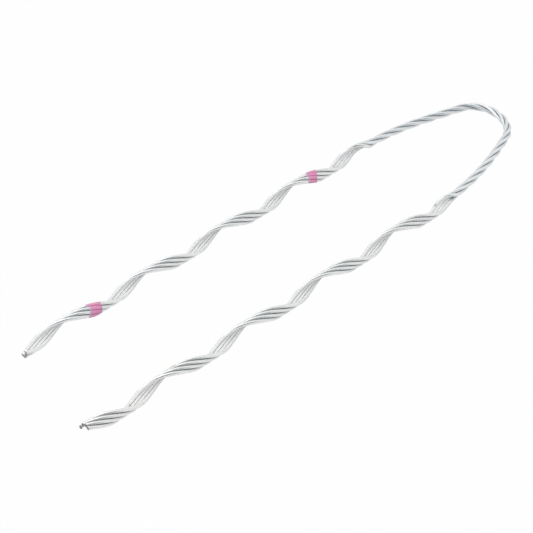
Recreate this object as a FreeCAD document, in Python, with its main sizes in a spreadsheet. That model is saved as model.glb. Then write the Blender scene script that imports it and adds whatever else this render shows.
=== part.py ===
import FreeCAD, Part
import math
import os

# Guy grip dead-end for a steel guy strand, laid flat on the floor.
# Four galvanised wires lie side by side as one helical band in each of the two hollow legs.
# Between the legs the same wires close up into a twisted strand and turn round as the loop.
# Lengths are in millimetres and angles in degrees.
# The legs lie along X with the loop at +X, the front leg is the one at -Y, and the floor is Z = 0.

WIRE_COUNT = 4

SIZES = [
    ("wire_diameter", 3.2, "galvanised steel wire"),
    ("wire_gap", 0.04, "clearance between neighbouring wires"),
    ("leg_bore", 8.2, "inside diameter of the hollow legs, a little under the guy strand"),
    ("leg_lay_length", 95.0, "one turn of the band in the hollow legs"),
    ("loop_lay_length", 74.8, "one turn of the closed strand in the loop"),
    ("front_phase", 65.3, "where the band starts round the front leg: 0 at +Y, 90 on top"),
    ("front_leg_length", 419.3, "straight front leg"),
    ("front_bend_radius", 392.0, "gentle bend at the end of the front leg"),
    ("front_bend_angle", 18.9, "turn of the front leg's bend"),
    ("front_side_length", 22.8, "straight stretch between the front bend and the eye"),
    ("front_eye_radius", 44.1, "front part of the eye's tight bend"),
    ("front_eye_angle", 71.8, "turn of the front part of the eye"),
    ("rear_eye_radius", 25.8, "rear part of the eye's tight bend"),
    ("rear_side_length", 40.0, "straight stretch between the eye and the rear bend"),
    ("rear_bend_radius", 290.0, "gentle bend at the end of the rear leg"),
    ("rear_bend_angle", 16.1, "turn of the rear leg's bend"),
    ("rear_leg_length", 431.0, "straight rear leg"),
    ("leg_splay", 0.33, "angle by which the legs stand apart towards the loop"),
    ("front_hollow_length", 434.0, "hollow band, from the front leg's free end"),
    ("rear_hollow_length", 416.4, "hollow band, from the rear leg's free end"),
    ("closing_length", 28.0, "stretch over which the band closes up into the strand"),
    ("closing_slack", 0.22, "extra spread of the wires halfway through closing"),
    ("front_cut_one", 0.0, "first wire cut short at the front leg's free end"),
    ("front_cut_two", 0.8, "second wire cut short there"),
    ("front_cut_three", 1.0, "third wire cut short there"),
    ("front_cut_four", 0.4, "fourth wire cut short there"),
    ("rear_cut_one", 1.2, "first wire cut short at the rear leg's free end"),
    ("rear_cut_two", 0.4, "second wire cut short there"),
    ("rear_cut_three", 0.2, "third wire cut short there"),
    ("rear_cut_four", 0.0, "fourth wire cut short there"),
    ("lining_thickness", 0.22, "gritted adhesive on the bore side of each wire"),
    ("lining_half_width", 45.0, "angle that the lining covers to each side of the bore line"),
    ("lining_set_back", 6.0, "bare wire at the free end, before the lining starts"),
    ("paint_thickness", 0.08, "paint film on the outer side of each wire"),
    ("paint_half_width", 85.0, "angle that the paint covers to each side of the outermost line"),
    ("film_clearance", 0.01, "gap under the lining and under the paint"),
    ("code_mark_place", 77.5, "middle of the colour code mark, from the rear leg's free end"),
    ("code_mark_length", 15.5, "length of the colour code mark along the leg"),
    ("crossover_mark_set_back", 64.5, "middle of the crossover mark, from the end of the rear hollow band"),
    ("crossover_mark_length", 13.5, "length of the crossover mark along the leg"),
]

FRONT_CUTS = ("front_cut_one", "front_cut_two", "front_cut_three", "front_cut_four")
REAR_CUTS = ("rear_cut_one", "rear_cut_two", "rear_cut_three", "rear_cut_four")

# Steps per turn of the wires at which their centre lines and their films are set out.
WIRE_STEPS_PER_TURN = 20
FILM_STEPS_PER_TURN = 16

# A wire's path is split into short edges of so many steps each, which keeps its section round throughout.
STEPS_PER_EDGE = 4

# Steps per turn at which the outermost points of the wires are looked for.
REACH_STEPS_PER_TURN = 200

# A shift along the bundle small enough to read a wire's direction from.
DIRECTION_STEP = 0.01

HALVINGS = 40
NEAREST_ROUNDS = 12


def make_sheet(document):
    """The spreadsheet that holds every driving size, one to a row."""
    sheet = document.addObject("Spreadsheet::Sheet", "Sizes")
    for row, (name, value, meaning) in enumerate(SIZES, start=1):
        sheet.set("A%d" % row, meaning)
        sheet.set("B%d" % row, str(value))
        sheet.setAlias("B%d" % row, name)
    document.recompute()
    return sheet


def rise(share):
    """0 up to a share of 0, 1 from a share of 1, and a smooth rise between them."""
    share = min(max(share, 0.0), 1.0)
    return share * share * (3.0 - 2.0 * share)


def rise_area(share):
    """The area under that rise, from minus infinity to the share."""
    inner = min(max(share, 0.0), 1.0)
    return inner ** 3 - inner ** 4 / 2.0 + max(share - 1.0, 0.0)


def helix_distance(radius, pitch, angle):
    """Shortest distance between two like helices on one axis that stand an angle apart."""
    rate = 2.0 * math.pi / pitch
    shift = 0.0
    for _ in range(NEAREST_ROUNDS):
        shift = radius * radius * rate * math.sin(angle - rate * shift)
    chord_squared = 2.0 * radius * radius * (1.0 - math.cos(angle - rate * shift))
    return math.sqrt(chord_squared + shift * shift)


def first_value(low, high, is_reached):
    """The smallest value between low and high that is_reached accepts."""
    for _ in range(HALVINGS):
        middle = (low + high) / 2.0
        if is_reached(middle):
            high = middle
        else:
            low = middle
    return high


class Bundle:
    """The bundle of wires: its centre line in the floor's plane and the place of each wire round it.

    A place along the centre line is its distance from the front leg's free end.
    """

    def __init__(self, size):
        self.size = size
        self.stretches = self.lay_out_stretches()
        self.length = sum(length for length, turn in self.stretches)
        self.leg_radius = (size.leg_bore + size.wire_diameter) / 2.0
        self.touching = size.wire_diameter + size.wire_gap
        self.strand_angle = 2.0 * math.pi / WIRE_COUNT
        self.strand_radius = first_value(
            size.wire_diameter / 2.0,
            self.leg_radius,
            lambda radius: helix_distance(radius, size.loop_lay_length, self.strand_angle) > self.touching,
        )
        self.front_closing = size.front_hollow_length
        self.rear_opening = self.length - size.rear_hollow_length - size.closing_length

    def lay_out_stretches(self):
        """Length and turn of each straight or round stretch, from the front leg to the rear leg."""
        size = self.size
        front_bend = math.radians(size.front_bend_angle)
        front_eye = math.radians(size.front_eye_angle)
        rear_bend = math.radians(size.rear_bend_angle)
        whole_turn = math.pi + math.radians(size.leg_splay)
        rear_eye = whole_turn - front_bend - front_eye - rear_bend
        return [
            (size.front_leg_length, 0.0),
            (size.front_bend_radius * front_bend, front_bend),
            (size.front_side_length, 0.0),
            (size.front_eye_radius * front_eye, front_eye),
            (size.rear_eye_radius * rear_eye, rear_eye),
            (size.rear_side_length, 0.0),
            (size.rear_bend_radius * rear_bend, rear_bend),
            (size.rear_leg_length, 0.0),
        ]

    def centre(self, place):
        """Point of the centre line at a place, and its heading there."""
        point = FreeCAD.Vector(0, 0, 0)
        heading = 0.0
        left = place
        for number, (length, turn) in enumerate(self.stretches, start=1):
            is_last = number == len(self.stretches)
            run = left if is_last else min(left, length)
            bent = turn * run / length
            chord = run if turn == 0 else 2.0 * length / turn * math.sin(bent / 2.0)
            middle = heading + bent / 2.0
            point += FreeCAD.Vector(math.cos(middle), math.sin(middle), 0) * chord
            heading += bent
            left -= run
            if left <= 0:
                break
        return point, heading

    def closed_share(self, place):
        """0 where the band is hollow and 1 where it is closed up into the strand."""
        closing = self.size.closing_length
        closed = rise((place - self.front_closing) / closing)
        opened = rise((place - self.rear_opening) / closing)
        return closed - opened

    def band_angle(self, place):
        """Angle of the band's middle round the centre line: 0 to the left of it, 90 degrees on top."""
        size = self.size
        closing = size.closing_length
        closed = closing * rise_area((place - self.front_closing) / closing)
        opened = closing * rise_area((place - self.rear_opening) / closing)
        turns = place / size.leg_lay_length
        turns += (closed - opened) * (1.0 / size.loop_lay_length - 1.0 / size.leg_lay_length)
        return math.radians(size.front_phase) + 2.0 * math.pi * turns

    def pitch(self, place):
        share = self.closed_share(place)
        return 1.0 / ((1.0 - share) / self.size.leg_lay_length + share / self.size.loop_lay_length)

    def radius(self, place):
        """Distance from the centre line to the wires' own centre lines."""
        share = self.closed_share(place)
        return self.leg_radius + (self.strand_radius - self.leg_radius) * share

    def spread(self, place):
        """Angle from one wire to the next, at which they just clear each other."""
        share = self.closed_share(place)
        wanted = self.touching + self.size.closing_slack * 4.0 * share * (1.0 - share)
        radius = self.radius(place)
        pitch = self.pitch(place)

        def is_clear(angle):
            return helix_distance(radius, pitch, angle) > wanted

        return first_value(0.0, self.strand_angle, is_clear)

    def outward(self, wire, place):
        """Direction from the centre line to a wire, at right angles to the centre line."""
        heading = self.centre(place)[1]
        offset = wire - (WIRE_COUNT - 1) / 2.0
        angle = self.band_angle(place) + offset * self.spread(place)
        left = FreeCAD.Vector(-math.sin(heading), math.cos(heading), 0)
        return left * math.cos(angle) + FreeCAD.Vector(0, 0, math.sin(angle))

    def wire_point(self, wire, place):
        return self.centre(place)[0] + self.outward(wire, place) * self.radius(place)

    def wire_direction(self, wire, place):
        ahead = self.wire_point(wire, place + DIRECTION_STEP)
        behind = self.wire_point(wire, place - DIRECTION_STEP)
        return (ahead - behind).normalize()

    def wire_ends(self, wire):
        start = getattr(self.size, FRONT_CUTS[wire])
        end = self.length - getattr(self.size, REAR_CUTS[wire])
        return start, end

    def places(self, start, end, steps_per_turn):
        """Places from start to end, evenly spaced, at least so many to a turn of the wires."""
        shortest = min(self.size.leg_lay_length, self.size.loop_lay_length)
        count = math.ceil((end - start) / shortest) * steps_per_turn
        return [start + (end - start) * step / count for step in range(count + 1)]


def split_line(line):
    """A smooth line as a wire of short edges that join without a kink."""
    ends = line.getKnots()[::STEPS_PER_EDGE]
    edges = []
    for first, last in zip(ends, ends[1:]):
        edge_line = line.copy()
        edge_line.segment(first, last)
        edges.append(edge_line.toShape())
    return Part.Wire(edges)


def make_wire(document, bundle, wire):
    """One wire, whole from one free end round the loop to the other: a round section along its path."""
    label = "wire_%d" % (wire + 1)
    start, end = bundle.wire_ends(wire)
    places = bundle.places(start, end, WIRE_STEPS_PER_TURN)
    line = Part.BSplineCurve()
    line.interpolate([bundle.wire_point(wire, place) for place in places])
    path = document.addObject("Part::Feature", label + "_path")
    path.Shape = split_line(line)
    section = document.addObject("Part::Circle", label + "_section")
    section.setExpression("Radius", "Sizes.wire_diameter / 2")
    across = FreeCAD.Rotation(FreeCAD.Vector(0, 0, 1), line.tangent(line.FirstParameter)[0])
    section.Placement = FreeCAD.Placement(line.StartPoint, across)
    body = document.addObject("Part::Sweep", label)
    body.Label = label
    body.Sections = [section]
    body.Spine = (path, ["Edge%d" % number for number in range(1, len(path.Shape.Edges) + 1)])
    body.Solid = True
    body.Frenet = False
    return body


def film_section(bundle, wire, place, middle, half_width, inner, outer):
    """Outline of a film across a wire: a piece of a ring, centred on the direction called middle."""
    along = bundle.wire_direction(wire, place)
    side = along.cross(middle).normalize()
    facing = side.cross(along).normalize()
    centre = bundle.wire_point(wire, place)

    def corner(radius, share):
        angle = half_width * share
        return centre + facing * (radius * math.cos(angle)) + side * (radius * math.sin(angle))

    outer_arc = Part.Arc(corner(outer, -1), corner(outer, 0), corner(outer, 1)).toShape()
    inner_arc = Part.Arc(corner(inner, 1), corner(inner, 0), corner(inner, -1)).toShape()
    end_edge = Part.makeLine(corner(outer, 1), corner(inner, 1))
    start_edge = Part.makeLine(corner(inner, -1), corner(outer, -1))
    return Part.Wire([outer_arc, end_edge, inner_arc, start_edge])


def make_film(bundle, wire, start, end, facing_sign, half_width, thickness):
    """A thin strip on one side of a wire: the bore side for a facing sign of -1, the outer side for 1."""
    inner = bundle.size.wire_diameter / 2.0 + bundle.size.film_clearance
    outer = inner + thickness
    sections = []
    for place in bundle.places(start, end, FILM_STEPS_PER_TURN):
        middle = bundle.outward(wire, place) * facing_sign
        sections.append(film_section(bundle, wire, place, middle, half_width, inner, outer))
    return Part.makeLoft(sections, True, False)


def make_films(document, bundle, label, start, end, facing_sign, half_width, thickness):
    """The same strip on every wire, kept together as one feature of separate solids."""
    strips = []
    for wire in range(WIRE_COUNT):
        strips.append(make_film(bundle, wire, start, end, facing_sign, half_width, thickness))
    feature = document.addObject("Part::Feature", label)
    feature.Label = label
    feature.Shape = Part.makeCompound(strips)
    return feature


def make_linings(document, bundle):
    """The gritted lining of each hollow leg, on the side of the wires that faces the bore."""
    size = bundle.size
    half_width = math.radians(size.lining_half_width)
    set_back = size.lining_set_back
    front = (set_back, bundle.front_closing)
    rear = (bundle.length - size.rear_hollow_length, bundle.length - set_back)
    features = []
    for leg, (start, end) in (("front", front), ("rear", rear)):
        label = "grit_lining_%s_leg" % leg
        strips = make_films(document, bundle, label, start, end, -1, half_width, size.lining_thickness)
        features.append(strips)
    return features


def make_marks(document, bundle):
    """The two painted marks on the rear leg: the strand size's colour code and the crossover mark."""
    size = bundle.size
    half_width = math.radians(size.paint_half_width)
    crossover_place = size.rear_hollow_length - size.crossover_mark_set_back
    features = []
    for label, place, length in (
        ("colour_code_mark", size.code_mark_place, size.code_mark_length),
        ("crossover_mark", crossover_place, size.crossover_mark_length),
    ):
        middle = bundle.length - place
        start = middle - length / 2.0
        end = middle + length / 2.0
        features.append(make_films(document, bundle, label, start, end, 1, half_width, size.paint_thickness))
    return features


def resting_place(bundle):
    """The shift that brings the middle of the grip's box to X = Y = 0 and its lowest point to Z = 0."""
    half = bundle.size.wire_diameter / 2.0
    lows = [math.inf, math.inf]
    highs = [-math.inf, -math.inf]
    for wire in range(WIRE_COUNT):
        start, end = bundle.wire_ends(wire)
        for place in bundle.places(start, end, REACH_STEPS_PER_TURN):
            point = bundle.wire_point(wire, place)
            along = bundle.wire_direction(wire, place)
            for axis in (0, 1):
                reach = half * math.sqrt(max(0.0, 1.0 - along[axis] ** 2))
                lows[axis] = min(lows[axis], point[axis] - reach)
                highs[axis] = max(highs[axis], point[axis] + reach)
    lift = bundle.size.leg_bore / 2.0 + bundle.size.wire_diameter
    return FreeCAD.Vector(-(lows[0] + highs[0]) / 2.0, -(lows[1] + highs[1]) / 2.0, lift)


def check_document(document, parts):
    for item in document.Objects:
        if "Invalid" in item.State or "Error" in item.State:
            raise RuntimeError("%s failed: %s" % (item.Name, item.State))
    for part in parts:
        if part.Shape.isNull() or not part.Shape.isValid() or not part.Shape.Solids:
            raise RuntimeError("%s has no valid solid" % part.Label)


document = FreeCAD.newDocument("guy_grip_dead_end")
sizes = make_sheet(document)
bundle = Bundle(sizes)
parts = [make_wire(document, bundle, wire) for wire in range(WIRE_COUNT)]
parts += make_linings(document, bundle)
parts += make_marks(document, bundle)
shift = resting_place(bundle)
for part in parts:
    part.Placement = FreeCAD.Placement(shift, FreeCAD.Rotation())
    part.setExpression("Placement.Base.z", "Sizes.leg_bore / 2 + Sizes.wire_diameter")
document.recompute()
check_document(document, parts)

os.makedirs("parts", exist_ok=True)
for part in parts:
    part.Shape.exportStep("parts/%s.step" % part.Label)
    print("%s: %d solids, %.1f mm3" % (part.Label, len(part.Shape.Solids), part.Shape.Volume))
print("centre line %.1f mm, strand radius %.3f mm, shift %s" % (bundle.length, bundle.strand_radius, shift))
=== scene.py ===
import math

import bpy
import numpy as np
from mathutils import Matrix, Vector


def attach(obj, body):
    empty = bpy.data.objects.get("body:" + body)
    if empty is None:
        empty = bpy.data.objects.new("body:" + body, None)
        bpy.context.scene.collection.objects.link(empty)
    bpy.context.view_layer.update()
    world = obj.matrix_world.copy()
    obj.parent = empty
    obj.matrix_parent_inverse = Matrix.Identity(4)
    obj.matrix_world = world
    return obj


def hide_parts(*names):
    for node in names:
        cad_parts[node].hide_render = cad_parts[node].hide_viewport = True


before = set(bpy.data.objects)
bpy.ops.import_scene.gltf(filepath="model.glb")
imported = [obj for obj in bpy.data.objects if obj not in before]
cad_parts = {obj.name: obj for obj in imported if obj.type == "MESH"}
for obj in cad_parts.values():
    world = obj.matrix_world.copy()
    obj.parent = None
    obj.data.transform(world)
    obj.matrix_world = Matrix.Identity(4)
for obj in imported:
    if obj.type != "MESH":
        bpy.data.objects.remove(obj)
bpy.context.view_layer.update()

# Guy grip dead-end lying flat: four galvanised wires, gritted lining in the legs, two pink paint marks.
# Sizes are in millimetres and degrees, as the part has them. Meshes, lights and the floor are in metres.
# A place is a distance along the bundle's centre line, from the front leg's free end.

METRES = 0.001
WIRES = 4
WIRE_RADIUS = 1.6
WIRE_GAP = 0.04
LEG_BORE = 8.2
LEG_LAY = 95.0
LOOP_LAY = 74.8
FRONT_PHASE = 65.3
FRONT_LEG = 419.3
FRONT_BEND_RADIUS = 392.0
FRONT_BEND_ANGLE = 18.9
FRONT_SIDE = 22.8
FRONT_EYE_RADIUS = 44.1
FRONT_EYE_ANGLE = 71.8
REAR_EYE_RADIUS = 25.8
REAR_SIDE = 40.0
REAR_BEND_RADIUS = 290.0
REAR_BEND_ANGLE = 16.1
REAR_LEG = 431.0
LEG_SPLAY = 0.33
REAR_EYE_ANGLE = 180.0 + LEG_SPLAY - FRONT_BEND_ANGLE - FRONT_EYE_ANGLE - REAR_BEND_ANGLE
FRONT_HOLLOW = 434.0
REAR_HOLLOW = 416.4
CLOSING = 28.0
CLOSING_SLACK = 0.22
# How much shorter each wire is than the centre line, at the front leg's free end and at the rear leg's.
FRONT_CUTS = (0.0, 0.8, 1.0, 0.4)
REAR_CUTS = (1.2, 0.4, 0.2, 0.0)

LEG_RADIUS = LEG_BORE / 2 + WIRE_RADIUS
TOUCHING = 2 * WIRE_RADIUS + WIRE_GAP
LIFT = LEG_BORE / 2 + 2 * WIRE_RADIUS
STRAND_ANGLE = 2 * math.pi / WIRES
MIDDLE_WIRE = (WIRES - 1) / 2.0

# Rounds of the two searches, and the shift from which a wire's direction is read.
NEAREST_ROUNDS = 12
HALVINGS = 40
DIRECTION_STEP = 0.01
# Places at which the outermost points of the wires are looked for.
REACH_STATIONS = 2400

# Sine waves in a noise, and the range of their frequencies about the wanted one.
NOISE_WAVES = 7
NOISE_SPREAD = (0.6, 1.7)


def arc(radius, angle):
    """Length and turn of a round stretch."""
    turn = math.radians(angle)
    return radius * turn, turn


# Length and turn of each stretch of the centre line, from the front leg's free end to the rear leg's.
STRETCHES = (
    (FRONT_LEG, 0.0),
    arc(FRONT_BEND_RADIUS, FRONT_BEND_ANGLE),
    (FRONT_SIDE, 0.0),
    arc(FRONT_EYE_RADIUS, FRONT_EYE_ANGLE),
    arc(REAR_EYE_RADIUS, REAR_EYE_ANGLE),
    (REAR_SIDE, 0.0),
    arc(REAR_BEND_RADIUS, REAR_BEND_ANGLE),
    (REAR_LEG, 0.0),
)
LENGTH = sum(length for length, turn in STRETCHES)
REAR_OPENING = LENGTH - REAR_HOLLOW - CLOSING


def rise(share):
    """0 up to a share of 0, 1 from a share of 1, and a smooth rise between them."""
    share = np.clip(share, 0.0, 1.0)
    return share * share * (3.0 - 2.0 * share)


def rise_area(share):
    """The area under that rise, from minus infinity to the share."""
    inner = np.clip(share, 0.0, 1.0)
    return inner ** 3 - inner ** 4 / 2.0 + np.maximum(share - 1.0, 0.0)


def wrapped(angle):
    """The same angle between minus and plus half a turn."""
    return (angle + math.pi) % (2 * math.pi) - math.pi


def helix_distance(radius, pitch, angle):
    """Shortest distance between two like helices on one axis that stand an angle apart."""
    rate = 2.0 * math.pi / pitch
    shift = np.zeros_like(angle)
    for _ in range(NEAREST_ROUNDS):
        shift = radius * radius * rate * np.sin(angle - rate * shift)
    chord_squared = 2.0 * radius * radius * (1.0 - np.cos(angle - rate * shift))
    return np.sqrt(chord_squared + shift * shift)


def first_value(low, high, is_reached):
    """The smallest values between low and high that is_reached accepts."""
    for _ in range(HALVINGS):
        middle = (low + high) / 2.0
        reached = is_reached(middle)
        high = np.where(reached, middle, high)
        low = np.where(reached, low, middle)
    return high


STRAND_RADIUS = float(first_value(
    np.array(WIRE_RADIUS),
    np.array(LEG_RADIUS),
    lambda radius: helix_distance(radius, LOOP_LAY, np.array(STRAND_ANGLE)) > TOUCHING,
))


def centre_line(place):
    """Points and headings of the bundle's centre line at an array of places along it."""
    place = np.asarray(place, float)
    x = np.zeros_like(place)
    y = np.zeros_like(place)
    heading = np.zeros_like(place)
    left = place.copy()
    for number, (length, turn) in enumerate(STRETCHES):
        is_last = number == len(STRETCHES) - 1
        run = left if is_last else np.minimum(left, length)
        if number > 0:
            run = np.maximum(run, 0.0)
        bent = turn * run / length
        chord = run if turn == 0 else 2.0 * length / turn * np.sin(bent / 2.0)
        x = x + chord * np.cos(heading + bent / 2.0)
        y = y + chord * np.sin(heading + bent / 2.0)
        heading = heading + bent
        left = left - run
    return np.stack([x, y, np.zeros_like(x)], -1), heading


def closed_share(place):
    """0 where the band is hollow and 1 where it is closed up into the strand."""
    closed = rise((place - FRONT_HOLLOW) / CLOSING)
    opened = rise((place - REAR_OPENING) / CLOSING)
    return closed - opened


def band_angle(place):
    """Angle of the band's middle round the centre line, in radians: 0 to its left, a quarter turn on top."""
    closed = CLOSING * rise_area((place - FRONT_HOLLOW) / CLOSING)
    opened = CLOSING * rise_area((place - REAR_OPENING) / CLOSING)
    turns = place / LEG_LAY + (closed - opened) * (1.0 / LOOP_LAY - 1.0 / LEG_LAY)
    return math.radians(FRONT_PHASE) + 2.0 * math.pi * turns


def band_radius(place):
    """Distance from the bundle's centre line to the wires' own centre lines."""
    return LEG_RADIUS + (STRAND_RADIUS - LEG_RADIUS) * closed_share(place)


def spread(place):
    """Angle from one wire to the next, at which they just clear each other."""
    share = closed_share(place)
    pitch = 1.0 / ((1.0 - share) / LEG_LAY + share / LOOP_LAY)
    wanted = TOUCHING + CLOSING_SLACK * 4.0 * share * (1.0 - share)
    radius = band_radius(place)
    return first_value(
        np.zeros_like(place),
        np.full_like(place, STRAND_ANGLE),
        lambda angle: helix_distance(radius, pitch, angle) > wanted,
    )


def polar(place, angle, radius):
    """Points at an angle round the centre line and a distance from it."""
    centre, heading = centre_line(place)
    left = np.stack([-np.sin(heading), np.cos(heading), np.zeros_like(heading)], -1)
    up = np.array([0.0, 0.0, 1.0])
    out = np.cos(angle)[..., None] * left + np.sin(angle)[..., None] * up
    return centre + out * np.asarray(radius)[..., None], out


def wire_line(wire, place):
    """Centre line of a wire with its directions: along the wire, out from the bundle, and to the side."""
    def wire_points(where):
        angle = band_angle(where) + (wire - MIDDLE_WIRE) * spread(where)
        return polar(where, angle, band_radius(where))

    middle, out = wire_points(place)
    ahead = wire_points(place + DIRECTION_STEP)[0]
    behind = wire_points(place - DIRECTION_STEP)[0]
    along = ahead - behind
    along /= np.linalg.norm(along, axis=-1, keepdims=True)
    side = np.cross(along, out)
    side /= np.linalg.norm(side, axis=-1, keepdims=True)
    facing = np.cross(side, along)
    return middle, along, facing, side


def resting_shift():
    """The shift that brings the grip's middle to the origin and its wires onto the floor."""
    lows = []
    highs = []
    for wire in range(WIRES):
        place = np.linspace(FRONT_CUTS[wire], LENGTH - REAR_CUTS[wire], REACH_STATIONS)
        middle, along = wire_line(wire, place)[:2]
        reach = WIRE_RADIUS * np.sqrt(np.maximum(0.0, 1.0 - along ** 2))
        lows.append((middle - reach).min(0))
        highs.append((middle + reach).max(0))
    low = np.min(lows, axis=0)
    high = np.max(highs, axis=0)
    return np.array([-(low[0] + high[0]) / 2.0, -(low[1] + high[1]) / 2.0, LIFT])


SHIFT = resting_shift()


def grid(*columns):
    """One coordinate list for every point of a grid, from values that stretch to its shape."""
    return np.stack(np.broadcast_arrays(*columns), -1)


def seeded_noise(seed, coordinates, scale):
    """Smooth repeatable noise between about -1 and 1 at each point of an array of coordinates."""
    rng = np.random.default_rng(seed)
    total = np.zeros(coordinates.shape[:-1])
    for _ in range(NOISE_WAVES):
        direction = rng.normal(size=coordinates.shape[-1])
        direction /= np.linalg.norm(direction)
        frequency = rng.uniform(*NOISE_SPREAD) * 2.0 * math.pi / scale
        total += np.sin(coordinates @ direction * frequency + rng.uniform(0, 2 * math.pi))
    return total / (NOISE_WAVES / 2.0)


def make_object(name, vertices, faces, attributes, material_of_face=None):
    """A smooth mesh from points in millimetres, with named numbers or vectors at its points."""
    mesh = bpy.data.meshes.new(name)
    mesh.from_pydata((vertices + SHIFT) * METRES, [], faces)
    mesh.validate()
    for key, values in attributes.items():
        values = np.asarray(values, float)
        kind, field = ("FLOAT_VECTOR", "vector") if values.ndim == 2 else ("FLOAT", "value")
        mesh.attributes.new(key, kind, "POINT").data.foreach_set(field, values.ravel())
    if material_of_face is not None:
        mesh.polygons.foreach_set("material_index", np.asarray(material_of_face, np.int32))
    mesh.polygons.foreach_set("use_smooth", np.full(len(mesh.polygons), True))
    mesh.update()
    thing = bpy.data.objects.new(name, mesh)
    bpy.context.scene.collection.objects.link(thing)
    return thing


def ring_faces(rings, around, first=0):
    """Quads between rings of points, closed round each ring."""
    faces = []
    for ring in range(rings - 1):
        low = first + ring * around
        high = low + around
        for step in range(around):
            after = (step + 1) % around
            faces.append((low + step, low + after, high + after, high + step))
    return faces


# Shader helpers


class Nodes:
    """A node tree under construction: short calls for the nodes used below."""

    def __init__(self, tree):
        self.tree = tree
        self.tree.nodes.clear()

    def link(self, source, target):
        self.tree.links.new(source, target)

    def put(self, value, socket):
        """Link the value if it is another socket, and otherwise set it."""
        if isinstance(value, bpy.types.NodeSocket):
            self.link(value, socket)
        else:
            socket.default_value = value

    def node(self, kind, **settings):
        made = self.tree.nodes.new(kind)
        for key, value in settings.items():
            setattr(made, key, value)
        return made

    def maths(self, operation, first, second):
        made = self.node("ShaderNodeMath", operation=operation)
        self.put(first, made.inputs[0])
        self.put(second, made.inputs[1])
        return made.outputs[0]

    def times(self, value, factor):
        return self.maths("MULTIPLY", value, factor)

    def ramp(self, value, low, high, to_low=0.0, to_high=1.0):
        """A smooth rise from one number to another while the value goes from low to high."""
        made = self.node("ShaderNodeMapRange", clamp=True, interpolation_type="SMOOTHSTEP")
        self.put(value, made.inputs["Value"])
        made.inputs["From Min"].default_value = low
        made.inputs["From Max"].default_value = high
        made.inputs["To Min"].default_value = to_low
        made.inputs["To Max"].default_value = to_high
        return made.outputs["Result"]

    def mix(self, factor, first, second, blend="MIX"):
        """A colour between two others, which are sockets or red, green and blue."""
        made = self.node("ShaderNodeMix", data_type="RGBA", blend_type=blend)
        self.put(factor, made.inputs["Factor"])
        for value, socket in ((first, made.inputs[6]), (second, made.inputs[7])):
            self.put(value if isinstance(value, bpy.types.NodeSocket) else (*value, 1.0), socket)
        return made.outputs[2]

    def mix_shaders(self, factor, first, second):
        made = self.node("ShaderNodeMixShader")
        for source, socket in zip((factor, first, second), made.inputs):
            self.link(source, socket)
        return made.outputs[0]


class Shader(Nodes):
    """A material under construction, with one principled shader. Its distances are in millimetres."""

    def __init__(self, name):
        self.material = bpy.data.materials.new(name)
        self.material.use_nodes = True
        super().__init__(self.material.node_tree)
        self.out = self.node("ShaderNodeOutputMaterial")
        self.bsdf = self.node("ShaderNodeBsdfPrincipled")
        self.link(self.bsdf.outputs[0], self.out.inputs[0])

    def attribute(self, name, output="Fac"):
        return self.node("ShaderNodeAttribute", attribute_name=name).outputs[output]

    def position_mm(self):
        """The shaded point in the piece's own frame."""
        scaled = self.node("ShaderNodeVectorMath", operation="SCALE")
        self.link(self.node("ShaderNodeTexCoord").outputs["Object"], scaled.inputs[0])
        scaled.inputs["Scale"].default_value = 1.0 / METRES
        return scaled.outputs[0]

    def noise(self, vector, scale, detail, roughness):
        made = self.node("ShaderNodeTexNoise")
        self.link(vector, made.inputs["Vector"])
        made.inputs["Scale"].default_value = scale
        made.inputs["Detail"].default_value = detail
        made.inputs["Roughness"].default_value = roughness
        return made.outputs["Fac"]

    def grain(self, place, along, across, detail=3.0, roughness=0.6):
        """Noise with so many waves to the millimetre along a wire and across it."""
        scaled = self.node("ShaderNodeVectorMath", operation="MULTIPLY")
        self.link(place, scaled.inputs[0])
        scaled.inputs[1].default_value = (along, across, 1.0)
        return self.noise(scaled.outputs[0], 1.0, detail, roughness)

    def cells(self, vector, scale):
        made = self.node("ShaderNodeTexVoronoi")
        self.link(vector, made.inputs["Vector"])
        made.inputs["Scale"].default_value = scale
        return made.outputs["Distance"]

    def bump(self, height, strength, distance):
        made = self.node("ShaderNodeBump")
        self.link(height, made.inputs["Height"])
        made.inputs["Strength"].default_value = strength
        made.inputs["Distance"].default_value = distance * METRES
        return made.outputs[0]

    def set(self, **values):
        """Give the principled shader its inputs and return the finished material."""
        for key, value in values.items():
            socket = self.bsdf.inputs[key.replace("_", " ")]
            if isinstance(value, tuple):
                value = (*value, 1.0)
            self.put(value, socket)
        return self.material


ZINC = (0.80, 0.815, 0.815)
ZINC_BRIGHT = (0.88, 0.885, 0.87)
ZINC_DULL = (0.66, 0.68, 0.69)
ZINC_EDGE = (0.75, 0.77, 0.79)
SPECK_GREY = (0.23, 0.22, 0.21)
# Grey of the painted shade in the grooves between wires.
GROOVE_SHADE_GREY = (0.243, 0.268, 0.288)
SMEAR_DARK = (0.42, 0.44, 0.46)
SMEAR_LIGHT = (0.90, 0.91, 0.91)
TAN = (0.43, 0.32, 0.18)
FLECK_PINK = (0.80, 0.42, 0.60)
# The zinc is a little bluer in the loop and warmer at the front leg's free end.
LOOP_TINT = (0.98, 1.0, 1.02)
END_TINT = (1.01, 1.0, 0.988)
# How much each mark, and the painted shade in the grooves, covers the zinc under it.
LINE_COVER = 0.45
GROOVE_SHADE_COVER = 0.68
SPECK_COVER = 0.55
SMEAR_COVER = 0.55
STAIN_COVER = 0.85
ZINC_ROUGHNESS = (0.26, 0.36)
GROOVE_ROUGHNESS = 0.2
# Shares of the two grains in the drawn surface's height.
LINE_HEIGHT = 0.6
FINE_HEIGHT = 0.4

# Dark and light of the sheared wire ends, at the front leg and at the rear leg.
CUT_FRONT_SHADES = ((0.20, 0.19, 0.185), (0.42, 0.40, 0.39))
CUT_REAR_SHADES = ((0.34, 0.33, 0.325), (0.52, 0.50, 0.49))

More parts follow.
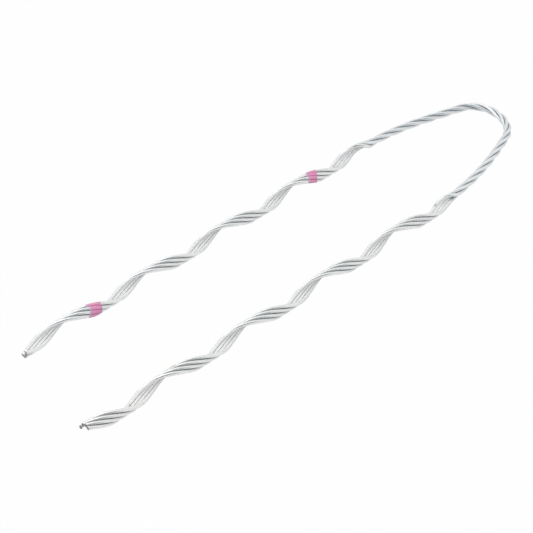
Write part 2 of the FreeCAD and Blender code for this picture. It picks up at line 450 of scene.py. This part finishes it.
LINING_SHADES = ((0.90, 0.915, 0.92), (0.93, 0.94, 0.94))
# Lining tones; the dark edge grey is painted shade along the joints between the wires.
LINING_JOINT_SHADE_GREY = (0.12, 0.135, 0.15)
LINING_SPOT_GREY = (0.26, 0.25, 0.245)
LINING_JOINT_SHADE_COVER = 0.95
LINING_SPOT_COVER = 0.65

# The valley colour is painted shade in the valleys between wires.
PAINT_SHADES = ((0.82, 0.34, 0.56), (0.85, 0.40, 0.61))
PAINT_VALLEY_SHADE = (0.74, 0.24, 0.47)
PAINT_THIN = (0.62, 0.54, 0.70)
PAINT_VALLEY_SHADE_COVER = 0.8

# The middle part of a noise's range, over which two shades change places.
CLOUD_LOW = 0.35
CLOUD_HIGH = 0.65


def zinc_material():
    """Drawn galvanised wire: fine lines along it, a cloudy zinc bloom, painted shade in the grooves between
    wires, and a few marks.
    """
    make = Shader("galvanised_wire")
    place = make.attribute("wire_place", "Vector")
    groove_shade = make.attribute("groove_shade")
    lines = make.grain(place, along=0.06, across=5.0, detail=4.0)
    bloom = make.grain(place, along=0.22, across=0.5, roughness=0.55)
    fine = make.grain(place, along=1.6, across=2.4)
    specks = make.grain(place, along=0.9, across=1.2, detail=2.0, roughness=0.4)
    specks = make.ramp(specks, low=0.73, high=0.79)
    blotches = make.ramp(make.grain(place, along=0.8, across=1.3), low=0.42, high=0.58)
    colour = make.mix(make.ramp(bloom, CLOUD_LOW, CLOUD_HIGH), ZINC, ZINC_BRIGHT)
    colour = make.mix(make.ramp(lines, low=0.50, high=0.75, to_high=LINE_COVER), colour, ZINC_DULL)
    # Painted shade: the zinc turns dark grey towards the grooves between wires.
    colour = make.mix(make.times(groove_shade, GROOVE_SHADE_COVER), colour, GROOVE_SHADE_GREY)
    colour = make.mix(make.times(specks, SPECK_COVER), colour, SPECK_GREY)
    smear = make.mix(blotches, SMEAR_DARK, SMEAR_LIGHT)
    colour = make.mix(make.times(make.attribute("smear"), SMEAR_COVER), colour, smear)
    colour = make.mix(make.times(make.attribute("stain"), STAIN_COVER), colour, TAN)
    colour = make.mix(make.attribute("fleck"), colour, FLECK_PINK)
    colour = make.mix(make.attribute("cool"), colour, LOOP_TINT, "MULTIPLY")
    colour = make.mix(make.attribute("warm"), colour, END_TINT, "MULTIPLY")
    zinc_rough = make.ramp(fine, 0.3, 0.7, *ZINC_ROUGHNESS)
    rough = make.maths("ADD", zinc_rough, make.times(groove_shade, GROOVE_ROUGHNESS))
    height = make.maths("ADD", make.times(lines, LINE_HEIGHT), make.times(fine, FINE_HEIGHT))
    bump = make.bump(height, strength=0.35, distance=0.03)
    return make.set(Base_Color=colour, Metallic=0.8, Roughness=rough, Specular_Tint=ZINC_EDGE, Normal=bump)


def cut_steel_material(name, dark, light):
    """Sheared wire end: bare steel that has started to brown."""
    make = Shader(name)
    grain = make.noise(make.position_mm(), scale=2.2, detail=4.0, roughness=0.65)
    colour = make.mix(make.ramp(grain, CLOUD_LOW, CLOUD_HIGH), dark, light)
    bump = make.bump(grain, strength=0.5, distance=0.08)
    return make.set(Base_Color=colour, Metallic=0.5, Roughness=0.6, Normal=bump)


def lining_material():
    """Pale fine grit set in adhesive, with painted shade along the joints between the wires."""
    make = Shader("grit_lining")
    position = make.position_mm()
    clouds = make.ramp(make.noise(position, scale=0.35, detail=3.0, roughness=0.6), CLOUD_LOW, CLOUD_HIGH)
    colour = make.mix(clouds, *LINING_SHADES)
    # Painted shade along the joints between wires, from the edge share.
    colour = make.mix(make.times(make.attribute("edge"), LINING_JOINT_SHADE_COVER), colour, LINING_JOINT_SHADE_GREY)
    colour = make.mix(make.times(make.attribute("stain"), LINING_SPOT_COVER), colour, LINING_SPOT_GREY)
    colour = make.mix(make.attribute("warm"), colour, END_TINT, "MULTIPLY")
    bump = make.bump(make.cells(position, scale=2.6), strength=0.05, distance=0.03)
    return make.set(Base_Color=colour, Roughness=0.6, Normal=bump)


def paint_material():
    """Brushed-on pink marking paint with painted shade in the valleys, thinner and more lilac along its far
    edge.
    """
    make = Shader("marking_paint")
    place = make.attribute("wire_place", "Vector")
    clouds = make.ramp(make.grain(place, along=0.5, across=1.4), CLOUD_LOW, CLOUD_HIGH)
    colour = make.mix(clouds, *PAINT_SHADES)
    # Painted shade, darker in the valleys between wires.
    colour = make.mix(make.times(make.attribute("valley"), PAINT_VALLEY_SHADE_COVER), colour, PAINT_VALLEY_SHADE)
    colour = make.mix(make.attribute("thin"), colour, PAINT_THIN)
    bump = make.bump(make.grain(place, along=2.0, across=6.0), strength=0.04, distance=0.03)
    return make.set(Base_Color=colour, Roughness=0.5, Normal=bump)


ZINC_WIRE = zinc_material()
CUT_FRONT = cut_steel_material("cut_steel_front", *CUT_FRONT_SHADES)
CUT_REAR = cut_steel_material("cut_steel_rear", *CUT_REAR_SHADES)
GRIT = lining_material()
PAINT = paint_material()

# Where the looks change

# Where the metal looks cooler, in the loop, and warmer, at the front leg's free end, and over what it fades.
COOL_START = 415.0
COOL_END = 785.0
COOL_FADE = 25.0
WARM_END = 60.0
WARM_FADE = 90.0

# Painted shade in the grooves between the wires, as angles round a wire from the side that faces out of the
# bundle.
GROOVE_START = math.radians(14.0)
GROOVE_BORE_WIDTH = math.radians(26.0)
GROOVE_POWER = 1.1
# Adhesive fills the bore side in the loop and where the band closes, so the painted shade there is less by
# this share.
BORE_FILLING = 0.75
# The strand and still more the closing band stand open to the light, so their valleys get less painted
# shade.
STRAND_LIGHT = 0.25
CLOSING_LIGHT = 1.2

# Small marks: the wire, counted from 0, the place along it, the angle round it from its outer side,
# half the length and half the width.
TAN_STAINS = (
    (1, 98.0, 6.0, 5.5, 0.9),
    (0, 791.5, 286.0, 2.5, 0.8),
)
PAINT_FLECKS = (
    (0, 1146.5, 330.0, 0.9, 0.7),
)
GLUE_SMEARS = (
    (0, 404.0, 70.0, 11.0, 1.8),
    (1, 407.0, 45.0, 12.0, 2.0),
    (2, 405.0, 40.0, 9.0, 1.6),
)
DARK_SPOTS = (
    (3, 48.9, 202.0, 1.1, 0.8),
    (3, 436.4, 142.0, 1.5, 1.0),
)
# A mark's rim lies at this many half lengths from its middle, and this is how fast it fades in from there.
SPOT_RIM = 1.2
SPOT_FADE = 1.5


def coolness(place):
    """1 in the loop, where the zinc looks bluer, and 0 in the legs."""
    return rise((place - COOL_START) / COOL_FADE) - rise((place - COOL_END) / COOL_FADE)


def warmth(place):
    """1 at the front leg's free end, where the metal looks warmer, and 0 farther on."""
    return 1.0 - rise((place - WARM_END) / WARM_FADE)


def groove_shade_share(wire, place, ring_angle):
    """Painted shade in the grooves: 1 where a wire's surface touches a neighbour and 0 well away, at each
    station and ring point.
    """
    share = closed_share(place)[:, None]
    # Directions to the neighbour and to a surface point, in the plane across the wire.
    towards = math.pi / 2 + spread(place)[:, None] / 2
    bore_share = 1.0 - BORE_FILLING * coolness(place)[:, None]
    total = np.zeros((len(place), len(ring_angle)))
    for sign in (-1, 1):
        has_neighbour = 1.0 if 0 <= wire + sign < WIRES else share
        turned = wrapped(ring_angle[None, :] * sign)
        outer = np.clip((turned - GROOVE_START) / (towards - GROOVE_START), 0.0, 1.0)
        inner = np.clip(1.0 - (turned - towards) / GROOVE_BORE_WIDTH, 0.0, 1.0)
        closeness = np.where(turned > towards, inner * bore_share, outer)
        total = np.maximum(total, closeness ** GROOVE_POWER * has_neighbour)
    return total * (1.0 - STRAND_LIGHT * share - CLOSING_LIGHT * share * (1.0 - share))


def spot_share(wire, place, angle, spots):
    """1 at the middle of the wire's listed marks, falling to 0 at their rims."""
    total = np.zeros(np.broadcast(place, angle).shape)
    for spot_wire, spot_place, spot_angle, half_length, half_width in spots:
        if spot_wire == wire:
            turned = wrapped(angle - math.radians(spot_angle))
            distance = np.hypot((place - spot_place) / half_length, turned * WIRE_RADIUS / half_width)
            total = np.maximum(total, np.clip(SPOT_FADE * (SPOT_RIM - distance), 0.0, 1.0))
    return total


# Wires

# Points round a wire, and the step from one ring of them to the next.
AROUND = 24
WIRE_STEP = 1.0
# Unevenness of the drawn wire: its depth, its length along the wire and its width round it.
WOBBLE = 0.012
WOBBLE_LENGTH = 31.0
WOBBLE_WIDTH = 9.0
# How far past the end of its centre line a wire's cut face lies, and how much it slants.
CUT_REACH = 0.2
CUT_SLANT = 0.08
# Size and height of the inner rings of a cut face, and the height of its middle.
CUT_RINGS = ((0.86, 0.08), (0.45, 0.12))
CUT_HEIGHT = 0.12
CUT_ROUGHNESS = 0.05
CUT_GRAIN = 1.6
# Shifts that give each wire its own part of the textures, and the one spot that a cut face takes.
TEXTURE_SHIFT = 1500.0
TEXTURE_DEPTH = 7.0
CUT_TEXTURE = 3.0
WOBBLE_SEED = 40
SLANT_SEED = 70
CUT_SEED = 90


def shear_ends(wire, place, points, middle, along):
    """Shear a wire's two end rings across the leg, and return their stations and outward directions."""
    rng = np.random.default_rng(SLANT_SEED + wire)
    ends = []
    for station, outward in ((0, -1.0), (len(place) - 1, 1.0)):
        heading = centre_line(place[station:station + 1])[1][0]
        leg = outward * np.array([math.cos(heading), math.sin(heading), 0.0])
        leg = leg + rng.normal(size=3) * CUT_SLANT
        leg /= np.linalg.norm(leg)
        beyond = CUT_REACH - (points[station] - middle[station]) @ leg
        points[station] += along[station] * (beyond / (along[station] @ leg))[:, None]
        ends.append((station, leg))
    return ends


def cap_points(rim, leg, seed):
    """The inner rings of a cut face and its middle, which stands out a little."""
    centre = rim.mean(0)
    rings = []
    for inset, bulge in CUT_RINGS:
        ring = centre + (rim - centre) * inset + leg * bulge
        ring += leg * (CUT_ROUGHNESS * seeded_noise(seed, ring, CUT_GRAIN))[:, None]
        rings.append(ring)
    return np.vstack([*rings, centre + leg * CUT_HEIGHT])


def cap_faces(rim, first):
    """Faces of a cut face, from the numbers of its rim's first point and its own first point."""
    faces = []
    for _ in CUT_RINGS:
        for step in range(AROUND):
            after = (step + 1) % AROUND
            faces.append((rim + step, first + step, first + after, rim + after))
        rim = first
        first += AROUND
    for step in range(AROUND):
        faces.append((rim + step, first, rim + (step + 1) % AROUND))
    return faces


def make_wire(wire):
    """One continuous galvanised wire, sheared at both ends."""
    name = "wire_%d" % (wire + 1)
    start = FRONT_CUTS[wire]
    end = LENGTH - REAR_CUTS[wire]
    stations = int((end - start) / WIRE_STEP) + 1
    place = np.linspace(start, end, stations)
    middle, along, facing, side = wire_line(wire, place)
    ring_angle = np.arange(AROUND) * 2 * math.pi / AROUND
    cosine = np.cos(ring_angle)[None, :, None]
    sine = np.sin(ring_angle)[None, :, None]
    out = facing[:, None, :] * cosine + side[:, None, :] * sine
    wobble_grid = grid(place[:, None], WOBBLE_WIDTH * np.cos(ring_angle)[None, :])
    radius = WIRE_RADIUS + WOBBLE * seeded_noise(WOBBLE_SEED + wire, wobble_grid, WOBBLE_LENGTH)
    points = middle[:, None, :] + out * radius[..., None]
    ends = shear_ends(wire, place, points, middle, along)

    vertices = points.reshape(-1, 3)
    faces = ring_faces(stations, AROUND)
    slots = [0] * len(faces)
    for end_number, (station, leg) in enumerate(ends):
        cap = cap_faces(station * AROUND, len(vertices))
        vertices = np.vstack([vertices, cap_points(points[station], leg, CUT_SEED + wire)])
        faces += cap if end_number == 0 else [face[::-1] for face in cap]
        slots += [1 + end_number] * len(cap)
    # The rings run round the wire the other way than the faces need.
    faces = [face[::-1] for face in faces]

    place_grid, angle_grid = np.broadcast_arrays(place[:, None], ring_angle[None, :])
    shades = {
        # Painted shade in the grooves between wires, as a share at each point.
        "groove_shade": groove_shade_share(wire, place, ring_angle),
        "stain": spot_share(wire, place_grid, angle_grid, TAN_STAINS),
        "smear": spot_share(wire, place_grid, angle_grid, GLUE_SMEARS),
        "fleck": spot_share(wire, place_grid, angle_grid, PAINT_FLECKS),
        "cool": coolness(place_grid),
        "warm": warmth(place_grid),
    }
    capped = len(vertices) - stations * AROUND
    shades = {key: np.concatenate([values.ravel(), np.zeros(capped)]) for key, values in shades.items()}
    wire_place = grid(place_grid + TEXTURE_SHIFT * wire, angle_grid * WIRE_RADIUS, TEXTURE_DEPTH * wire)
    wire_place = np.vstack([wire_place.reshape(-1, 3), np.full((capped, 3), CUT_TEXTURE)])

    piece = make_object(name + "_drawn", vertices, faces, {"wire_place": wire_place, **shades}, slots)
    piece.data.materials.append(ZINC_WIRE)
    piece.data.materials.append(CUT_FRONT)
    piece.data.materials.append(CUT_REAR)
    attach(piece, "root")
    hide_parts(name)


for wire in range(WIRES):
    make_wire(wire)

# Grit lining

LINING_THICKNESS = 0.22
LINING_SET_BACK = 6.0
# The adhesive runs on a little way into the closing band.
LINING_RUN_ON = 20.0
# Angles that the lining covers on a wire, towards a neighbour and on the outermost wires' free side.
LINING_HALF_WIDTH = 60.0
LINING_FREE_WIDTH = 88.0
# The step from one row of points to the next, and the points across the lining.
LINING_STEP = 0.64
LINING_ACROSS = 17
# Where the painted shade on the lining begins and grows towards a neighbouring wire.
LINING_EDGE_START = math.radians(30.0)
LINING_EDGE_WIDTH = math.radians(22.0)
# Its ragged long edges, its lumps, and its thinning towards the edges and the ends.
RAGGEDNESS = 0.04
RAGGED_LENGTH = 7.0
LUMPINESS = 0.03
LUMP_LENGTH = 1.5
TAPER_RATE = 6.0
END_TAPER = 3.0
# The film's surface starts this far above the wire's, and its underside lies this far inside the wire.
LINING_LIFT = 0.004
LINING_SINK = 0.06
# More adhesive fills the valleys where the band begins to close, so the painted shade along the joints there
# is taken back by this share.
FILLING = 0.7
FILLING_BEFORE_FRONT = 30.0
FILLING_PAST_REAR = 5.0
FILLING_FADE = 25.0
RAGGED_SEED = 11
LUMP_SEED = 21


def filling(place):
    """Share of the lining's painted shade along the joints that is taken back where adhesive fills them, at
    each place.
    """
    begins = rise((place - FRONT_HOLLOW + FILLING_BEFORE_FRONT) / FILLING_FADE)
    ends = rise((place - LENGTH + REAR_HOLLOW - FILLING_PAST_REAR) / FILLING_FADE)
    return FILLING * (begins - ends)


def make_lining(leg, start, end):
    """Four strips of grit in adhesive, one on the bore side of each wire, with an uneven edge."""
    vertices = []
    faces = []
    shades = {"edge": [], "stain": [], "warm": []}
    around = 2 * LINING_ACROSS
    stations = int((end - start) / LINING_STEP) + 1
    place = np.linspace(start, end, stations)
    share = np.linspace(-1.0, 1.0, LINING_ACROSS)
    taper = np.clip((1.0 - np.abs(share)) * TAPER_RATE, 0.0, 1.0)[None, :]
    end_taper = np.clip(np.minimum(place - start, end - place) / END_TAPER, 0.0, 1.0)[:, None]
    for wire in range(WIRES):
        middle, along, facing, side = wire_line(wire, place)
        low = LINING_FREE_WIDTH if wire == 0 else LINING_HALF_WIDTH
        high = LINING_FREE_WIDTH if wire == WIRES - 1 else LINING_HALF_WIDTH
        even_angle = np.radians((high - low) / 2.0 + (high + low) / 2.0 * share)
        ragged = 1.0 + RAGGEDNESS * seeded_noise(RAGGED_SEED + wire, grid(place, place), RAGGED_LENGTH)
        angle = even_angle[None, :] * ragged[:, None]
        lumps = seeded_noise(LUMP_SEED + wire, grid(place[:, None], angle * WIRE_RADIUS), LUMP_LENGTH)
        thickness = LINING_THICKNESS * (1.0 - LUMPINESS + LUMPINESS * lumps) * taper * end_taper
        out = -facing[:, None, :] * np.cos(angle)[..., None] + side[:, None, :] * np.sin(angle)[..., None]
        height = WIRE_RADIUS + np.maximum(thickness, 0.0) + LINING_LIFT
        top = middle[:, None, :] + out * height[..., None]
        under = middle[:, None, :] + out * (WIRE_RADIUS - LINING_SINK)
        vertices.append(np.concatenate([top, under[:, ::-1]], 1).reshape(-1, 3))

        first = wire * stations * around
        last = first + (stations - 1) * around
        faces += ring_faces(stations, around, first)
        faces.append(tuple(range(first, first + around))[::-1])
        faces.append(tuple(range(last, last + around)))

        # Painted shade: the lining darkens towards each joint with a neighbouring wire.
        has_neighbour = np.where(angle < 0.0, wire > 0, wire < WIRES - 1)
        edge = np.clip((np.abs(angle) - LINING_EDGE_START) / LINING_EDGE_WIDTH, 0.0, 1.0) * has_neighbour
        edge = edge * (1.0 - filling(place))[:, None]
        stain = spot_share(wire, place[:, None], math.pi - angle, DARK_SPOTS)
        warm = np.broadcast_to(warmth(place)[:, None], angle.shape)
        for key, values in (("edge", edge), ("stain", stain), ("warm", warm)):
            shades[key].append(np.concatenate([values, values[:, ::-1]], 1).ravel())

    node = "grit_lining_%s_leg" % leg
    attributes = {key: np.concatenate(values) for key, values in shades.items()}
    piece = make_object(node + "_coat", np.vstack(vertices), faces, attributes)
    piece.data.materials.append(GRIT)
    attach(piece, "root")
    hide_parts(node)


make_lining("front", LINING_SET_BACK, FRONT_HOLLOW + LINING_RUN_ON)
make_lining("rear", LENGTH - REAR_HOLLOW - LINING_RUN_ON, LENGTH - LINING_SET_BACK)

# Paint marks

# Turn of the camera round the upright and its tilt, in radians.
# The marks' edges run straight across its picture.
VIEW_TURN = 0.7938
VIEW_PITCH = 0.6501

HELIX_COSINE = 1.0 / math.hypot(1.0, 2 * math.pi * LEG_RADIUS / LEG_LAY)
PAINT_THICKNESS = 0.09
PAINT_DEPTH = 0.30
# How softly the paint bridges a valley, and how far in and out its surface is looked for.
PAINT_BRIDGING = 0.09
PAINT_INSIDE = 0.4
PAINT_OUTSIDE = 1.0
SMALLEST = 1e-12
# Points across a mark and along it, and the angle that it covers to each side of the band's middle.
PAINT_ACROSS = 90
PAINT_STATIONS = 44
PAINT_EDGE = math.radians(69.0)
# Width of the step from wire to wire, as a share of the wires' distance.
STEP_WIDTH = 0.3
# Waves of the two edges, and the rounds of the search for an edge with the share of each round's correction.
EDGE_WAVE = 0.35
EDGE_WAVE_LENGTH = 3.0
NEAR_WAVE = 0.25
FAR_WAVE = 0.6
EDGE_ROUNDS = 12
EDGE_CORRECTION = 0.8
# Drop of the paint's rim, the share of the mark from which it is thin, and the depth of valley at which the
# painted shade in it is full.
RIM_DROP = 0.07
THIN_START = 0.80
THIN_FADE = 0.2
VALLEY_DEPTH = 1.1


def painted_radius(place, offset):
    """Distance from the centre line to the paint's surface, which fills the valleys a little."""
    gap = spread(place)
    low = np.full_like(offset, LEG_RADIUS - PAINT_INSIDE)
    high = np.full_like(offset, LEG_RADIUS + WIRE_RADIUS + PAINT_OUTSIDE)

    def is_outside(radius):
        total = np.zeros_like(radius)
        for wire in range(WIRES):
            turned = offset - (wire - MIDDLE_WIRE) * gap
            radial = radius * np.cos(turned) - LEG_RADIUS
            tangential = radius * np.sin(turned) * HELIX_COSINE
            total += np.exp(-(np.hypot(radial, tangential) - WIRE_RADIUS) / PAINT_BRIDGING)
        return -PAINT_BRIDGING * np.log(np.maximum(total, SMALLEST)) > PAINT_THICKNESS

    return first_value(low, high, is_outside)


def film_faces(stations, across):
    """Faces of a closed film: its top, its underside, whose points follow the top's, and its rim."""
    count = stations * across
    faces = []
    for station in range(stations - 1):
        for step in range(across - 1):
            low = station * across + step
            quad = (low, low + 1, low + 1 + across, low + across)
            faces.append(quad)
            faces.append(tuple(count + corner for corner in quad[::-1]))
    numbers = np.arange(count).reshape(stations, across)
    border = [*numbers[0], *numbers[1:, -1], *numbers[-1, -2::-1], *numbers[-2:0:-1, 0]]
    border = [int(number) for number in border]
    for first, second in zip(border, border[1:] + border[:1]):
        faces.append((first, first + count, second + count, second))
    return faces


def make_mark(node, leg_place, half_length, near_steps, far_steps, seed):
    """One paint mark on the rear leg: each edge steps a little from wire to wire, and the far one is thin.

    The place is the distance from the rear leg's free end. The steps are for the four wires in turn.
    """
    offset = np.linspace(-PAINT_EDGE, PAINT_EDGE, PAINT_ACROSS)
    middle_place = LENGTH - leg_place
    origin = centre_line(np.array([middle_place]))[0][0]
    gap = float(spread(np.array([middle_place]))[0])
    wire_share = offset / gap + MIDDLE_WIRE

    def edge(side_sign, steps, wave):
        """Places along an edge that runs straight across the picture, but for its steps and waves."""
        place = np.full_like(offset, middle_place + side_sign * half_length)
        shift = np.full_like(offset, steps[0])
        for wire in range(1, WIRES):
            shift += (steps[wire] - steps[wire - 1]) * rise((wire_share - wire + 0.5) / STEP_WIDTH + 0.5)
        wanted = -side_sign * half_length * math.cos(VIEW_TURN) + shift + wave
        for _ in range(EDGE_ROUNDS):
            point = polar(place, band_angle(place) + offset, painted_radius(place, offset))[0] - origin
            reach = point[:, 0] * math.cos(VIEW_TURN) - point[:, 1] * math.sin(VIEW_TURN)
            place = place + (reach - wanted) / math.cos(VIEW_TURN) * EDGE_CORRECTION
        return place

    wave = EDGE_WAVE * seeded_noise(seed, grid(offset * LEG_RADIUS, 0.0), EDGE_WAVE_LENGTH)
    near_edge = edge(-1, near_steps, NEAR_WAVE * wave)
    far_edge = edge(1, far_steps, FAR_WAVE * wave)
    share = np.linspace(0.0, 1.0, PAINT_STATIONS)[:, None]
    place = near_edge[None, :] * (1 - share) + far_edge[None, :] * share
    offset_grid = np.repeat(offset[None, :], PAINT_STATIONS, 0)
    angle = band_angle(place) + offset_grid
    lip = np.clip(np.minimum(share, 1 - share) * PAINT_STATIONS / 2.0, 0.0, 1.0)
    surface = painted_radius(place, offset_grid)
    top = polar(place, angle, surface - RIM_DROP * (1 - lip))[0]
    under = polar(place, angle, surface - PAINT_DEPTH)[0]
    vertices = np.vstack([top.reshape(-1, 3), under.reshape(-1, 3)])
    attributes = {
        "wire_place": grid(place, offset_grid * LEG_RADIUS, 0.0).reshape(-1, 3),
        "thin": np.broadcast_to(rise((share - THIN_START) / THIN_FADE), place.shape).ravel(),
        "valley": rise((LEG_RADIUS + WIRE_RADIUS + PAINT_THICKNESS - surface) / VALLEY_DEPTH).ravel(),
    }
    attributes = {key: np.concatenate([values, values]) for key, values in attributes.items()}
    piece = make_object(node + "_paint", vertices, film_faces(PAINT_STATIONS, PAINT_ACROSS), attributes)
    piece.data.materials.append(PAINT)
    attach(piece, "root")
    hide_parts(node)


make_mark(
    "colour_code_mark",
    leg_place=83.9,
    half_length=7.9,
    near_steps=(-0.3, 0.0, 0.1, -1.2),
    far_steps=(0.24, 1.44, 0.96, -2.7),
    seed=5,
)
make_mark(
    "crossover_mark",
    leg_place=357.9,
    half_length=6.7,
    near_steps=(0.0, 0.3, 0.0, -1.3),
    far_steps=(0.8, 1.2, -0.7, -1.45),
    seed=6,
)

# Materials of the CAD nodes, which the pieces above stand for

for node, material in (
    ("wire_1", ZINC_WIRE),
    ("wire_2", ZINC_WIRE),
    ("wire_3", ZINC_WIRE),
    ("wire_4", ZINC_WIRE),
    ("grit_lining_front_leg", GRIT),
    ("grit_lining_rear_leg", GRIT),
    ("colour_code_mark", PAINT),
    ("crossover_mark", PAINT),
):
    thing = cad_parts[node]
    thing.data.materials.clear()
    thing.data.materials.append(material)

# Floor, light and camera

FLOOR_SIZE = 30.0
FLOOR_GREY = (0.55, 0.55, 0.55)
# Share of plain white in the floor, as the camera and the metal see it.
FLOOR_GLOW = 0.985
WHITE = (1.0, 1.0, 1.0)
SOFT_SKY = 0.66
# Direction of the studio's unlit side, the cosines between which it sets in, and its colour.
UNLIT_SIDE = (-0.646, -0.635, 0.423)
UNLIT_REACH = (0.30, 0.75)
UNLIT_COLOUR = (0.24, 0.28, 0.32)


def stage_material():
    """Pale floor that reads as white to the camera and keeps a soft shadow."""
    make = Shader("pale_floor")
    make.set(Base_Color=FLOOR_GREY, Roughness=0.9)
    light_path = make.node("ShaderNodeLightPath")
    glow = make.node("ShaderNodeEmission")
    glow.inputs["Strength"].default_value = 1.0
    seen = make.maths("MAXIMUM", light_path.outputs["Is Camera Ray"], light_path.outputs["Is Glossy Ray"])
    mixed = make.mix_shaders(make.times(seen, FLOOR_GLOW), make.bsdf.outputs[0], glow.outputs[0])
    make.link(mixed, make.out.inputs[0])
    return make.material


def make_floor():
    """A square floor under the grip."""
    half = FLOOR_SIZE / 2
    corners = [(-half, -half, 0), (half, -half, 0), (half, half, 0), (-half, half, 0)]
    mesh = bpy.data.meshes.new("floor")
    mesh.from_pydata(corners, [], [(0, 1, 2, 3)])
    mesh.materials.append(stage_material())
    floor = bpy.data.objects.new("floor", mesh)
    bpy.context.scene.collection.objects.link(floor)


def make_world():
    """White studio, softer as a light. Metal sees it white too, but for an unlit side behind the camera."""
    world = bpy.data.worlds.new("studio")
    bpy.context.scene.world = world
    world.use_nodes = True
    make = Nodes(world.node_tree)
    nearness = make.node("ShaderNodeVectorMath", operation="DOT_PRODUCT")
    make.link(make.node("ShaderNodeTexCoord").outputs["Generated"], nearness.inputs[0])
    nearness.inputs[1].default_value = UNLIT_SIDE
    unlit = make.ramp(nearness.outputs["Value"], *UNLIT_REACH)
    seen_sky = make.node("ShaderNodeBackground")
    soft_sky = make.node("ShaderNodeBackground")
    soft_sky.inputs["Strength"].default_value = SOFT_SKY
    mirrored_sky = make.node("ShaderNodeBackground")
    make.link(make.mix(unlit, WHITE, UNLIT_COLOUR), mirrored_sky.inputs["Color"])
    path = make.node("ShaderNodeLightPath").outputs
    sky = make.mix_shaders(path["Is Glossy Ray"], soft_sky.outputs[0], mirrored_sky.outputs[0])
    sky = make.mix_shaders(path["Is Camera Ray"], sky, seen_sky.outputs[0])
    make.link(sky, make.node("ShaderNodeOutputWorld").inputs[0])


def area_light(name, place, size, power, shows_in_metal=True):
    """A square softbox that points at the origin."""
    lamp = bpy.data.lights.new(name, "AREA")
    lamp.shape = "SQUARE"
    lamp.size = size
    lamp.energy = power
    thing = bpy.data.objects.new(name, lamp)
    thing.location = place
    thing.visible_glossy = shows_in_metal
    thing.rotation_euler = (-Vector(place)).to_track_quat("-Z", "Y").to_euler()
    bpy.context.scene.collection.objects.link(thing)


make_floor()
make_world()
area_light("top_softbox", place=(-0.2, 0.5, 1.6), size=1.6, power=8.0)
area_light("front_fill", place=(-1.2, -1.0, 1.4), size=1.4, power=11.0, shows_in_metal=False)

# The photograph's size and focal length in pixels, and where the front leg's free end lies in it.
IMAGE_SIZE = 533.0
FOCAL_PIXELS = 1908.33
ANCHOR_PIXEL = (84.25, 432.4)
# That end's distance in front of the camera, and how far past it the anchor lies.
ANCHOR_DEPTH = 1526.664
ANCHOR_BACK = 1.4
SENSOR_WIDTH = 36.0
CLIP_END = 100.0


def set_camera():
    """The camera stands where the front leg's free end falls on its own place in the picture."""
    right = Vector((math.cos(VIEW_TURN), -math.sin(VIEW_TURN), 0.0))
    level = Vector((math.sin(VIEW_TURN), math.cos(VIEW_TURN), 0.0))
    forward = level * math.cos(VIEW_PITCH) - Vector((0, 0, 1)) * math.sin(VIEW_PITCH)
    up = right.cross(forward)
    half_image = IMAGE_SIZE / 2
    ray = forward + right * ((ANCHOR_PIXEL[0] - half_image) / FOCAL_PIXELS)
    ray -= up * ((ANCHOR_PIXEL[1] - half_image) / FOCAL_PIXELS)
    anchor = Vector(SHIFT) - Vector((ANCHOR_BACK, 0, 0))
    place = (anchor - ray * ANCHOR_DEPTH) * METRES
    data = bpy.data.cameras.new("camera")
    data.sensor_width = SENSOR_WIDTH
    data.lens = FOCAL_PIXELS / IMAGE_SIZE * SENSOR_WIDTH
    data.clip_end = CLIP_END
    camera = bpy.data.objects.new("camera", data)
    turn = Matrix((right, up, -forward)).transposed()
    camera.matrix_world = Matrix.Translation(place) @ turn.to_4x4()
    bpy.context.scene.collection.objects.link(camera)
    bpy.context.scene.camera = camera


set_camera()
bpy.context.scene.view_settings.view_transform = "Standard"
